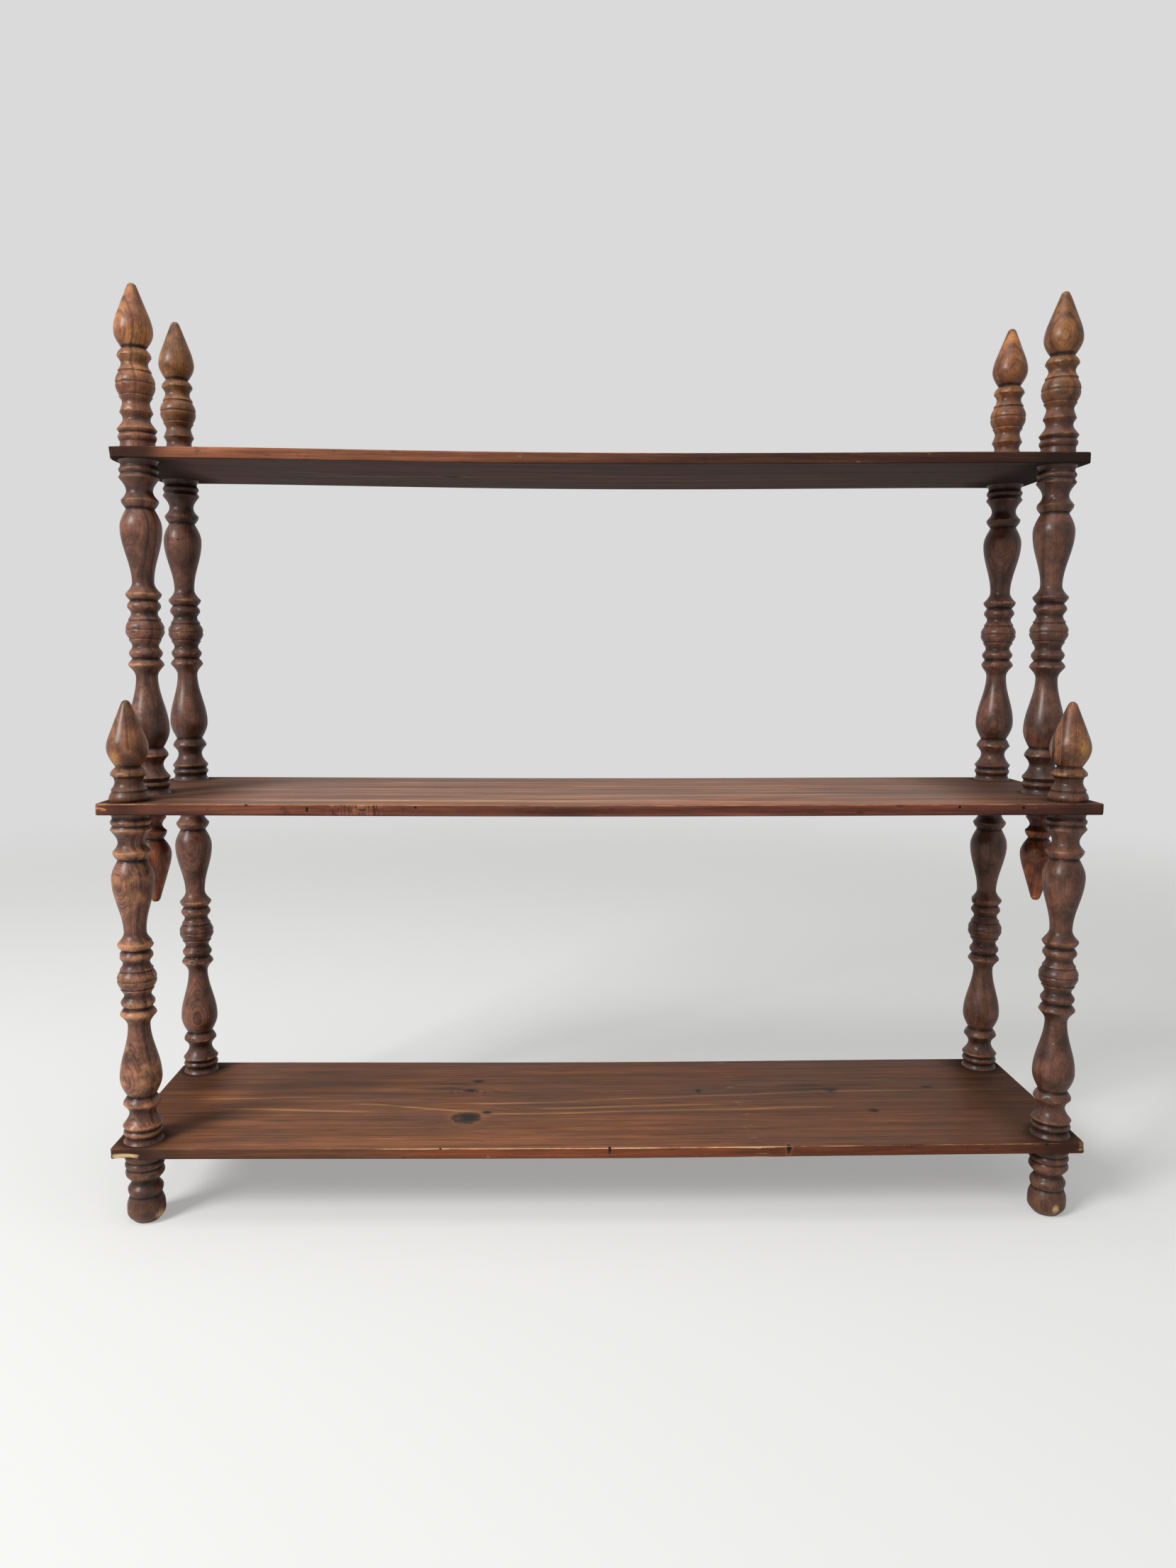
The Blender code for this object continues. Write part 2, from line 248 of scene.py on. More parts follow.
def addMarks(add, colour, marks, ripple):  # each mark is (kind, place, size, squeeze)
    place = add("TexCoord", output="Object")
    rim = add("Math SUBTRACT", ripple, 0.5)
    coats = []
    for kind, centre, size, squeeze in marks:
        look = markLooks[kind]
        off = awayFrom(add, place, centre, squeeze)
        off = add("Math MULTIPLY_ADD", rim, size * look["ragged"], off)
        inside = add("MapRange", off, size * look["outside"], size * look["inside"])
        coats.append((inside, look["colour"]))
    return layCoats(add, colour, coats)


def finishWood(add, colour, gloss, relief, shine):  # relief in mm; what is the same all over is in shine
    normal = add("Bump", {"Height": relief, "Distance": 0.001, "Strength": 0.9})
    surface = add("BsdfPrincipled", {"Base Color": colour, "Roughness": gloss, "Normal": normal, **shine})
    add("OutputMaterial", surface)


# Softwood turned on a lathe, dark spirit stain under rubbed wax: rings show as faint ovals over the
# swellings, dirt and painted shade darken the hollows, hands have polished ridges and swellings back to tan.
frontal = (1.0, 0.3, 1.0)  # a mark on a turned piece is found from the front, so its depth is eased
turnedLooks = {  # grime and painted shade, darker close under a shelf and at a seat: (shelf, metres from its top where it is thickest, and where it ends, most)
    "finial": {
        "early": "#9c673a", "late": "#4a2b16", "aged": "#5e3528", "worn": "#bd8a4e", "dirt": "#1f120b",
        "grime": [("top_shelf", 0.012, 0.072, 0.85)],
        "marks": [],
    },
    "spindle": {
        "early": "#6f4837", "late": "#3e271e", "aged": "#3f261d", "worn": "#966746", "dirt": "#140c09",
        "grime": [("top_shelf", -0.012, -0.060, 0.85), ("middle_shelf", -0.010, -0.035, 0.7),
                  ("middle_shelf", 0.002, 0.030, 0.7), ("bottom_shelf", 0.002, 0.022, 0.6)],
        "marks": [("hole", (-0.3546, 0.061, 0.5358), 0.0010, frontal),
                  ("black", (-0.3567, -0.0391, 0.4607), 0.0016, (0.6, 0.3, 1.4))],
    },
    "bud": {
        "early": "#805439", "late": "#3e2618", "aged": "#4a2b1b", "worn": "#b98346", "dirt": "#1c100b",
        "grime": [("middle_shelf", 0.016, 0.032, 0.85)],
        "marks": [("hole", (-0.3505, -0.0807, 0.3981), 0.0007, frontal),
                  ("hole", (-0.3502, -0.0805, 0.3945), 0.0008, frontal),
                  ("hole", (-0.3502, -0.0839, 0.3884), 0.0007, frontal),
                  ("hole", (-0.3490, -0.0832, 0.3868), 0.0007, frontal),
                  ("hole", (-0.3643, -0.0816, 0.3825), 0.0008, frontal),
                  ("gold", (-0.3612, -0.0845, 0.3625), 0.0032, (0.8, 0.3, 0.55)),
                  ("gold", (0.3602, -0.0845, 0.3705), 0.0040, (0.9, 0.3, 0.5))],
    },
    "pendant": {
        "early": "#83472b", "late": "#452518", "aged": "#4a2517", "worn": "#a76634", "dirt": "#1a0e0a",
        "grime": [("middle_shelf", -0.010, -0.030, 0.6)],
        "marks": [],
    },
    "foot": {
        "early": "#644130", "late": "#3a261d", "aged": "#42281d", "worn": "#8a5a3a", "dirt": "#170d0a",
        "grime": [("bottom_shelf", -0.010, -0.026, 0.6)],
        "marks": [("bare", (-0.3432, -0.0764, 0.0055), 0.0028, (1.1, 0.3, 0.7)),
                  ("bare", (0.3566, -0.0845, 0.0086), 0.0026, (1.0, 0.3, 0.7))],
    },
}
turnedGrain = {
    "ringGap": 0.0019, "summer": 0.28,             # yearly rings of slow-grown spruce, and when they darken
    "sway": 0.004, "swayPerMetre": (26.0, 26.0, 11.0),
    "across": (1.0, 1.0, 0.0),
    "strandsPerMetre": (1700.0, 1700.0, 50.0),     # fibre bundles about 0.6 mm wide, drawn coarse to show
    "patchPerMetre": 34.0,                         # reddish patches about 30 mm across
    "mottlePerMetre": 85.0,                        # lighter and darker spots about 12 mm across
    "rubPerMetre": 105.0,                          # rubbed patches about 10 mm across
    "fleckPerMetre": 150.0,                        # cells about 7 mm across, few of which hold a speck
    "fineness": {"Detail": 5.0, "Roughness": 0.64},
    "yearDark": (0.0, 1.0, 0.4, 1.0),
    "patchAged": (0.44, 0.62, 0.0, 0.88),
    "toneLight": (-1.0, 1.0, 0.5, 1.5), "mottleLight": (0.3, 0.7, 0.45, 1.55),
    "fibreLight": (0.25, 0.75, 0.7, 1.3), "poreLight": (0.32, 0.42, 0.6, 1.0),
    "rubbedBy": {"wear": 0.11, "proud": 0.12, "rubbed": 0.42}, "rubbedBare": (0.68, 1.02, 0.0, 0.75),
    "crestBare": (0.75, 1.5), "crestBroken": (0.45, 0.62, 0.1, 0.8), "grimeShadeSpares": (0.0, 1.0, 1.0, 0.25),
    "hollowDirtShade": (-0.15, -1.2, 0.0, 0.68), "grooveDirtShade": 0.5, "dirtShadeThick": (0.3, 0.7, 1.2, 0.6),
    "speckPick": 0.93, "speck": (0.09, 0.05, 0.0, 0.6), "speckColour": "#c9b49a",
    "gloss": (0.3, 0.7, 0.36, 0.56), "dirtShadeDull": 0.3,
    "relief": {"late": 0.05, "fibre": 0.16, "mottle": 0.7, "patch": 0.6},   # mm
    "shine": {"IOR": 1.5, "Specular IOR Level": 0.2, "Coat Weight": 0.2, "Coat Roughness": 0.24},  # wax
}


def turnedPine(name, look, grain):
    material, add = newMaterial(name)
    log = add("Attribute", output="Vector", attribute_name="logPlace")
    told = {key: add("Attribute", output="Fac", attribute_name=key)
            for key in ("wear", "proud", "groove", "tone", "figure", "rubbed")}
    late, year, fibre = woodFigure(add, log, grain)
    patch, mottle, rub = (add("TexNoise", {"Vector": log, "Scale": grain[key], **grain["fineness"]},
                              output="Fac")
                          for key in ("patchPerMetre", "mottlePerMetre", "rubPerMetre"))
    dark = add("MapRange", year, *grain["yearDark"])
    for share in (late, told["figure"]):
        dark = add("Math MULTIPLY", dark, share)

    # stain and old wax took unevenly: reddish patches, lighter and darker spots, pores as dark dashes
    ageAndShade = add("MapRange", patch, *grain["patchAged"])
    place = add("TexCoord", output="Object")
    height = add("SeparateXYZ", place, output="Z")
    # darker and redder near the shelves: partly grime, partly painted shade close under a shelf and round a
    # seat
    grime = 0.0
    for shelf, thick, thin, most in look["grime"]:
        level = shelfTops[shelf]
        layer = add("MapRange SMOOTHSTEP", height, level + thin, level + thick, 0.0, most)
        beyond = add("Math", height, level, operation="LESS_THAN" if thick < 0 else "GREATER_THAN")
        layer = add("Math MULTIPLY", layer, beyond)
        grime = add("Math MAXIMUM", layer, grime)
    ageAndShade = add("Math MAXIMUM", ageAndShade, grime)
    colour = layCoats(add, hexColour(look["early"]), [(dark, look["late"]), (ageAndShade, look["aged"])])
    light = add("MapRange", told["tone"], *grain["toneLight"])
    light = shadeBy(add, light, [(mottle, *grain["mottleLight"]), (fibre, *grain["fibreLight"]),
                                 (fibre, *grain["poreLight"])])
    colour = add("VectorMath SCALE", colour, {"Scale": light})

    # hands have rubbed patches of the ridges and swellings; dirt and painted shade darken the hollows
    for key, weight in grain["rubbedBy"].items():
        rub = add("Math MULTIPLY_ADD", told[key], weight, rub)
    rub = add("MapRange SMOOTHSTEP", rub, *grain["rubbedBare"])
    crest = add("MapRange", told["wear"], *grain["crestBare"])
    broken = add("MapRange", mottle, *grain["crestBroken"])
    crest = add("Math MULTIPLY", crest, broken)
    rub = add("Math MAXIMUM", rub, crest)
    spared = add("MapRange", grime, *grain["grimeShadeSpares"])
    rub = add("Math MULTIPLY", rub, spared)
    hollow = add("MapRange", told["wear"], *grain["hollowDirtShade"])
    hollow = add("Math MULTIPLY_ADD", told["groove"], grain["grooveDirtShade"], hollow, use_clamp=True)
    thick = add("MapRange", mottle, *grain["dirtShadeThick"])
    hollow = add("Math MULTIPLY", hollow, thick)

    # a few pale specks where the finish is knocked through
    cells = add("TexVoronoi", {"Vector": log, "Scale": grain["fleckPerMetre"]}).node.outputs
    pick = add("SeparateXYZ", cells["Color"], output="X")
    few = add("Math GREATER_THAN", pick, grain["speckPick"])
    speck = add("MapRange", cells["Distance"], *grain["speck"])
    speck = add("Math MULTIPLY", speck, few)
    colour = layCoats(add, colour, [(rub, look["worn"])], light)
    colour = layCoats(add, colour, [(hollow, look["dirt"]), (speck, grain["speckColour"])])
    colour = addMarks(add, colour, look["marks"], fibre)

    gloss = add("MapRange", mottle, *grain["gloss"])
    gloss = add("Math MULTIPLY_ADD", hollow, grain["dirtShadeDull"], gloss)
    patterns = {"late": late, "fibre": fibre, "mottle": mottle, "patch": patch}
    relief = 0.0
    for key, rise in grain["relief"].items():
        relief = add("Math MULTIPLY_ADD", patterns[key], rise, relief)
    finishWood(add, colour, gloss, relief, grain["shine"])
    return material


turnedWood = {key: turnedPine("dark stained spruce, turned " + key, look, turnedGrain)
              for key, look in turnedLooks.items()}

# turned pieces: rows of (distance from the seat, radius) in mm; a row without a word is an edge
outlines = {
    "spindleEnd": [
        (0.0, 15.0), (4.0, 13.2, "round"), (7.2, 14.7, "round"), (9.9, 13.2), (13.0, 15.0),
        (22.8, 9.8, "round"), (29.8, 13.9, "edgeRound"), (36.2, 10.4), (50.6, 15.5, "round"),
    ],
    "spindleMiddle": [
        (0.0, 13.8), (1.2, 14.4, "round"), (7.2, 11.6), (7.8, 12.4), (12.7, 9.8, "round"),
        (18.0, 12.5, "round"), (22.4, 10.1), (27.6, 13.4, "roundEdge"), (36.4, 8.2, "round"),
    ],
    "finial": [
        (0.0, 13.1), (5.4, 12.7), (8.6, 14.2, "round"), (11.5, 12.7), (14.4, 14.7), (18.4, 11.6),
        (22.2, 10.0, "round"), (27.2, 12.3), (31.6, 10.6), (34.4, 10.0, "round"), (38.8, 12.4),
        (39.4, 11.6), (46.8, 14.4, "round"), (48.0, 13.8), (49.2, 14.4, "round"), (56.8, 11.6),
        (57.4, 12.4), (63.0, 9.8, "round"), (68.2, 12.5, "edgeRound"), (74.4, 8.7),
        (87.0, 14.3, "round"), (96.8, 12.4), (117.6, 4.4), (120.4, 3.3), (121.8, 2.0), (122.3, 0.3),
    ],
    "bud": [
        (0.0, 13.9), (2.4, 14.6, "round"), (7.5, 12.4), (8.7, 13.0), (14.4, 10.1, "round"),
        (18.3, 10.9), (19.5, 12.9), (20.4, 13.1, "round"), (25.8, 8.9), (40.0, 14.9, "round"),
        (50.5, 12.3), (71.2, 4.2), (73.7, 3.1), (75.0, 1.9), (75.5, 0.3),
    ],
    "pendant": [
        (0.0, 11.9), (4.2, 12.5, "round"), (8.0, 10.1), (11.6, 10.1), (17.0, 7.1, "round"),
        (21.9, 10.5, "edgeRound"), (28.1, 7.7), (40.3, 13.4, "round"), (51.0, 11.5), (77.0, 3.6),
        (78.9, 2.1),
    ],
    "foot": [
        (0.0, 13.2), (4.0, 14.7, "round"), (7.4, 13.2), (10.4, 14.7, "round"), (13.0, 13.2),
        (17.2, 14.7, "round"), (24.5, 10.4, "round"), (30.2, 13.3, "round"), (34.6, 12.2), (35.2, 11.6),
        (44.0, 14.3, "round"), (48.6, 14.3, "round"), (55.9, 9.6),
    ],
}
turning = {
    "sample": 0.1, "soften": 0.22,        # mm: spacing of the first points, and how far edges are sanded off
    "flatWithin": 0.012, "longestStep": 1.5,  # mm: points that a straight run doesn't need go, within reason
    "ridgeSpan": 1.8, "ridgeHeight": 0.5, "ridgeMost": 1.5,  # mm: what counts as a ridge, and the most of it
    "grooveSpan": 1.2, "grooveDepth": 0.42,  # mm: what counts as a groove
    "swellSpan": 11.0, "swellHeight": 2.6,  # mm: what counts as a swelling
    "chipRange": (0.58, 0.72),
    "pithDistance": 0.11, "seedStep": 0.37, "seedSpread": (9, 9, 7),  # metres to the pith, and between seeds
    "eyeDepth": 0.014, "eyeSqueeze": (1.0, 1.0, 0.6),  # where in a piece a swirl of rings lies
    "lathe": {
        "Sides": 72, "Slope": (0.02, 0.01, 0.0), "Sharp angle": math.radians(50),
        "Out of round": 0.0003, "Roundness": 32.0,  # metres, and patches to a metre
        "Chip depth": 0.0009, "Chips": 75.0,
        "Eye reach": 0.016, "Eye height": 0.0055,  # metres: how far a swirl of rings goes, and how strongly
    },
}


def curveBetween(before, after):  # points after the first member up to the next, as (distance, radius)
    startsRound = before[-1] in ("round", "edgeRound")
    endsRound = after[-1] in ("round", "roundEdge")
    steps = max(2, math.ceil((after[0] - before[0]) / turning["sample"]))
    share = np.arange(1, steps + 1) / steps
    if startsRound and endsRound:
        eased = (1 - np.cos(math.pi * share)) / 2
    elif startsRound:
        eased = 1 - np.cos(math.pi / 2 * share)
    elif endsRound:
        eased = np.sin(math.pi / 2 * share)
    else:
        eased = share
    distance = before[0] + (after[0] - before[0]) * share
    radius = before[1] + (after[1] - before[1]) * eased
    return np.stack([distance, radius], 1)


def drawOutline(members):
    runs = [np.array([members[0][:2]], float)]
    runs += [curveBetween(before, after) for before, after in zip(members, members[1:])]
    return np.concatenate(runs)


def drawSpindle(length):  # the same from either end
    end = drawOutline(outlines["spindleEnd"])
    middle = drawOutline(outlines["spindleMiddle"])[::-1]
    middle[:, 0] = length / 2 - middle[:, 0]
    link = curveBetween((*end[-1], "round"), (*middle[0], "round"))
    lower = np.concatenate([end, link, middle[1:]])
    upper = lower[-2::-1].copy()
    upper[:, 0] = length - upper[:, 0]
    return np.concatenate([lower, upper])


def blurred(values, span):  # running mean with a bell weight, span in mm
    reach = max(1, round(3 * span / turning["sample"]))
    weight = np.exp(-0.5 * (np.arange(-reach, reach + 1) * turning["sample"] / span) ** 2)
    padded = np.pad(values, reach, mode="edge")
    return np.convolve(padded, weight / weight.sum(), mode="valid")


def neededPoints(points, within):  # keeps the points that stand off a straight run by more than this
    keep = np.zeros(len(points), bool)
    keep[[0, -1]] = True
    runs = [(0, len(points) - 1)]
    while runs:
        first, last = runs.pop()
        if last - first < 2:
            continue
        run = points[last] - points[first]
        off = points[first + 1:last] - points[first]
        away = np.abs(run[0] * off[:, 1] - run[1] * off[:, 0]) / max(np.hypot(*run), 1e-9)
        far = int(away.argmax())
        if away[far] > within:
            middle = first + 1 + far
            keep[middle] = True
            runs += [(first, middle), (middle, last)]
    return keep


def outlineObject(name, drawn, seat, down):  # a line of points up the axis that carries the radius of each
    spaced = np.arange(drawn[0, 0], drawn[-1, 0], turning["sample"])
    radius = np.interp(spaced, drawn[:, 0], drawn[:, 1])
    sanded = blurred(radius, turning["soften"])
    sanded[[0, -1]] = radius[[0, -1]]
    most = turning["ridgeMost"]
    wear = np.clip((sanded - blurred(radius, turning["ridgeSpan"])) / turning["ridgeHeight"], -most, most)
    proud = np.clip((sanded - blurred(radius, turning["swellSpan"])) / turning["swellHeight"], -1, 1)
    groove = np.clip((blurred(radius, turning["grooveSpan"]) - sanded) / turning["grooveDepth"], 0, 1)
    keep = neededPoints(np.stack([spaced, sanded], 1), turning["flatWithin"])
    keep[::round(turning["longestStep"] / turning["sample"])] = True
    height = seat + spaced[keep] / 1000 * (-1 if down else 1)
    rows = [height, sanded[keep] / 1000, wear[keep], proud[keep], groove[keep]]
    if down:
        rows = [row[::-1] for row in rows]
    mesh = bpy.data.meshes.new(name)
    count = int(keep.sum())
    mesh.from_pydata([(0.0, 0.0, z) for z in rows[0]], [(i, i + 1) for i in range(count - 1)], [])
    for key, row in zip(("turnRadius", "wear", "proud", "groove"), rows[1:]):
        mesh.attributes.new(key, "FLOAT", "POINT").data.foreach_set("value", row.astype(np.float32))
    piece = bpy.data.objects.new(name, mesh)
    scene.collection.objects.link(piece)
    return piece


def latheTree():  # turns a line of radii into a round piece, and tells each point its place in the trunk
    tree = bpy.data.node_groups.new("turnOnLathe", "GeometryNodeTree")
    sockets = {
        "Geometry": ("Outline",), "Int": ("Sides",), "Vector": ("Axis", "Pith", "Slope", "Seed", "Eye"),
        "Float": ("Tone", "Figure", "Rubbed", "Out of round", "Roundness", "Chip depth", "Chips",
                  "Eye height", "Eye reach", "Sharp angle"),
        "Material": ("Wood",),
    }
    for kind, labels in sockets.items():
        for label in labels:
            tree.interface.new_socket(name=label, in_out="INPUT", socket_type="NodeSocket" + kind)
    tree.interface.new_socket(name="Piece", in_out="OUTPUT", socket_type="NodeSocketGeometry")
    add = partial(addNode, tree)
    given = add("NodeGroupInput").node.outputs

    line = add("GeometryNodeMeshToCurve", {"Mesh": given["Outline"]})
    ring = add("GeometryNodeCurvePrimitiveCircle", {"Resolution": given["Sides"], "Radius": 1.0})
    radius = add("GeometryNodeInputNamedAttribute", {"Name": "turnRadius"})
    turned = add("GeometryNodeCurveToMesh", {"Curve": line, "Profile Curve": ring, "Scale": radius,
                 "Fill Caps": True})

    # a little out of round, with chips on the ridges
    place = add("GeometryNodeInputPosition")
    outward = add("VectorMath MULTIPLY", place, (1.0, 1.0, 0.0))
    outward = add("VectorMath NORMALIZE", outward)
    shifted = add("VectorMath ADD", place, given["Seed"])
    wobble = add("TexNoise", {"Vector": shifted, "Scale": given["Roundness"], "Detail": 1.0}, output="Fac")
    wobble = add("Math SUBTRACT", wobble, 0.5)
    wobble = add("Math MULTIPLY", wobble, given["Out of round"])
    chip = add("TexNoise", {"Vector": shifted, "Scale": given["Chips"], "Detail": 2.0}, output="Fac")
    chip = add("MapRange SMOOTHSTEP", chip, *turning["chipRange"])
    ridge = add("GeometryNodeInputNamedAttribute", {"Name": "wear"})
    ridge = add("Math MULTIPLY", ridge, given["Chip depth"])
    ridge = add("Math MAXIMUM", ridge, 0.0)
    chip = add("Math MULTIPLY", chip, ridge)
    wobble = add("Math SUBTRACT", wobble, chip)
    offset = add("VectorMath SCALE", outward, {"Scale": wobble})
    uneven = add("GeometryNodeSetPosition", {"Geometry": turned, "Offset": offset})

    height = add("SeparateXYZ", place, output="Z")
    drift = add("VectorMath SCALE", given["Slope"], {"Scale": height})
    log = add("VectorMath SUBTRACT", place, given["Pith"])
    log = add("VectorMath ADD", log, drift)

    # rings swirl round an eye, as they do over a bump in the trunk
    off = awayFrom(add, place, given["Eye"], turning["eyeSqueeze"])
    swirl = add("MapRange SMOOTHSTEP", off, 0.0, given["Eye reach"], given["Eye height"], 0.0)
    inward = add("VectorMath MULTIPLY", given["Pith"], (1.0, 1.0, 0.0))
    inward = add("VectorMath NORMALIZE", inward)
    inward = add("VectorMath SCALE", inward, {"Scale": swirl})
    log = add("VectorMath ADD", log, inward)
    told = add("GeometryNodeStoreNamedAttribute", {"Geometry": uneven, "Name": "logPlace", "Value": log},
               data_type="FLOAT_VECTOR")
    for label in ("Tone", "Figure", "Rubbed"):
        told = add("GeometryNodeStoreNamedAttribute", {"Geometry": told, "Name": label.lower(),
                   "Value": given[label]}, data_type="FLOAT")
    angle = add("GeometryNodeInputMeshEdgeAngle", output="Unsigned Angle")
    sharp = add("FunctionNodeCompare", {"A": angle, "B": given["Sharp angle"]}, data_type="FLOAT",
                operation="GREATER_THAN")
    smooth = add("GeometryNodeSetShadeSmooth", {"Geometry": told, "Selection": sharp,
                 "Shade Smooth": False}, domain="EDGE")
    placed = add("GeometryNodeTransform", {"Geometry": smooth, "Translation": given["Axis"]})
    real = add("GeometryNodeRealizeInstances", {"Geometry": placed})
    dressed = add("GeometryNodeSetMaterial", {"Geometry": real, "Material": given["Wood"]})
    add("NodeGroupOutput", {tree.interface.items_tree["Piece"].identifier: dressed})
    return tree


lathe = latheTree()


def applyNodes(piece, tree, values):  # sets the inputs by identifier and keeps the mesh that the tree makes
    modifier = piece.modifiers.new(tree.name, "NODES")
    modifier.node_group = tree
    sockets = {item.name: item.identifier for item in tree.interface.items_tree if item.in_out == "INPUT"}
    for label, value in values.items():
        modifier[sockets[label]] = value
    shape = piece.evaluated_get(bpy.context.evaluated_depsgraph_get())
    made = bpy.data.meshes.new_from_object(shape)
    piece.modifiers.clear()
    piece.data = made


def turnPiece(name, node, drawn, seat, axis, look, wood, down):
    piece = outlineObject(name, drawn, seat, down)
    angle = math.radians(look["pith"])
    side, ahead, depth = math.sin(angle), -math.cos(angle), turning["eyeDepth"]
    pith = Vector((side, ahead, 0.0)) * turning["pithDistance"]
    pith += Vector((0, 0, look["seed"] * turning["seedStep"]))
    values = {**turning["lathe"], "Axis": (*axis, 0.0), "Pith": pith, "Wood": wood,
              "Tone": look["tone"], "Figure": look["figure"], "Rubbed": look["rubbed"],
              "Seed": tuple(a * b for a, b in zip((*axis, seat), turning["seedSpread"])),
              "Eye": (side * depth, ahead * depth, seat + look.get("eye", 0) / 1000)}
    if "eye" not in look:
        values["Eye height"] = 0.0
    applyNodes(piece, lathe, values)
    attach(piece, "root")
    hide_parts(node)
    return piece


# pith: which way the heart of the trunk lies, in degrees to the right of straight forward; eye: mm from the
# seat to a swirl of rings on that side; tone from -1, dark, to 1, light, is partly painted light and shade,
# with the front left pieces set lighter and the front right ones darker; figure: how strong the rings are
pieces = {
    "upper_spindle_front_left": dict(pith=-14, eye=207, tone=0.3, figure=0.9, rubbed=0.1, seed=1),
    "upper_spindle_front_right": dict(pith=75, tone=-0.5, figure=0.6, rubbed=0.0, seed=2),
    "upper_spindle_rear_left": dict(pith=100, tone=-0.5, figure=0.5, rubbed=0.0, seed=3),
    "upper_spindle_rear_right": dict(pith=-22, eye=206, tone=-0.15, figure=0.8, rubbed=0.0, seed=26),
    "lower_spindle_front_left": dict(pith=-24, eye=205, tone=0.75, figure=1.4, rubbed=0.55, seed=5),
    "lower_spindle_front_right": dict(pith=20, tone=-0.4, figure=0.5, rubbed=0.1, seed=6),
    "lower_spindle_rear_left": dict(pith=10, eye=207, tone=0.2, figure=0.9, rubbed=0.1, seed=7),
    "lower_spindle_rear_right": dict(pith=95, tone=-0.15, figure=0.5, rubbed=0.0, seed=8),
    "tall_finial_front_left": dict(pith=-38, eye=88, tone=0.3, figure=0.8, rubbed=0.2, seed=9),
    "tall_finial_front_right": dict(pith=-19, eye=86, tone=-0.72, figure=0.6, rubbed=0.0, seed=21),
    "tall_finial_rear_left": dict(pith=108, tone=-0.6, figure=0.55, rubbed=0.1, seed=11),
    "tall_finial_rear_right": dict(pith=-4, eye=83, tone=-0.05, figure=0.7, rubbed=0.1, seed=12),
    "short_finial_left": dict(pith=-60, tone=0.2, figure=0.8, rubbed=0.08, seed=13),
    "short_finial_right": dict(pith=64, tone=0.1, figure=1.1, rubbed=0.1, seed=14),
    "drop_pendant_left": dict(pith=80, tone=-0.1, figure=0.8, rubbed=0.2, seed=15),
    "drop_pendant_right": dict(pith=85, tone=0.1, figure=0.8, rubbed=0.3, seed=16),
    "foot_front_left": dict(pith=40, tone=-0.1, figure=0.7, rubbed=0.12, seed=17),
    "foot_front_right": dict(pith=-30, tone=-0.15, figure=0.7, rubbed=0.12, seed=18),
    "foot_rear_left": dict(pith=15, tone=-0.1, figure=0.7, rubbed=0.1, seed=19),
    "foot_rear_right": dict(pith=120, tone=-0.1, figure=0.7, rubbed=0.1, seed=20),
}
kinds = {  # what the start of a piece's name tells: its outline, its slot, and the height of its seat
    "upper_spindle": ("spindle", "spindle_wood", shelfTops["middle_shelf"]),
    "lower_spindle": ("spindle", "spindle_wood", shelfTops["bottom_shelf"]),
    "tall_finial": ("finial", "finial_wood", shelfTops["top_shelf"]),
    "short_finial": ("bud", "finial_wood", shelfTops["middle_shelf"]),
    "drop_pendant": ("pendant", "pendant_wood", shelfUndersides["middle_shelf"]),
    "foot": ("foot", "foot_wood", shelfUndersides["bottom_shelf"]),
}
for node, look in pieces.items():
    low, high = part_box(node)
    axis = ((low.x + high.x) / 2, (low.y + high.y) / 2)
    kind, slot, seat = next(row for start, row in kinds.items() if node.startswith(start))
    if kind == "spindle":
        above = "top_shelf" if "upper" in node else "middle_shelf"
        drawn = drawSpindle((shelfUndersides[above] - seat) * 1000)
    else:
        drawn = drawOutline(outlines[kind])
    words = node.split("_")
    name = words[0] + "".join(word.capitalize() for word in words[1:])
    piece = turnPiece(name, node, drawn, seat, axis, look, turnedWood[kind], kind in ("pendant", "foot"))
print("turned pieces made:", len(pieces))

# planks
postX = abs(sum(corner.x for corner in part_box("foot_front_left"))) / 2
rearRow, frontRow, innerRow = (sum(corner.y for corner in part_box(node)) / 2 for node in
                               ("foot_rear_left", "foot_front_left", "upper_spindle_front_left"))
plankShape = {
    "rearCorner": 0.010, "frontCorner": 0.003, "cornerSteps": 8, "arris": 0.0009, "arrisSteps": 4,
    "cutX": 0.004, "cutY": 0.007,               # spacing of the cross cuts that let a plank bend and wear
    "rimCuts": (0.0016, 0.0036), "layerCuts": (0.2, 0.35, 0.5, 0.65, 0.8),  # metres; shares of the thickness
    "arrisWear": 0.00035, "arrisWorn": 0.4, "wearPerMetre": 45.0, "lowerArris": 0.55,
    "chipRagged": 0.5, "chipSteep": 1.6, "bareSteep": 3, "sharpAngle": math.radians(40),
}


def cornerArc(centre, radius, start):
    steps = plankShape["cornerSteps"]
    turns = [start + math.pi / 2 * i / steps for i in range(steps + 1)]
    return [(centre[0] + radius * math.cos(turn), centre[1] + radius * math.sin(turn)) for turn in turns]


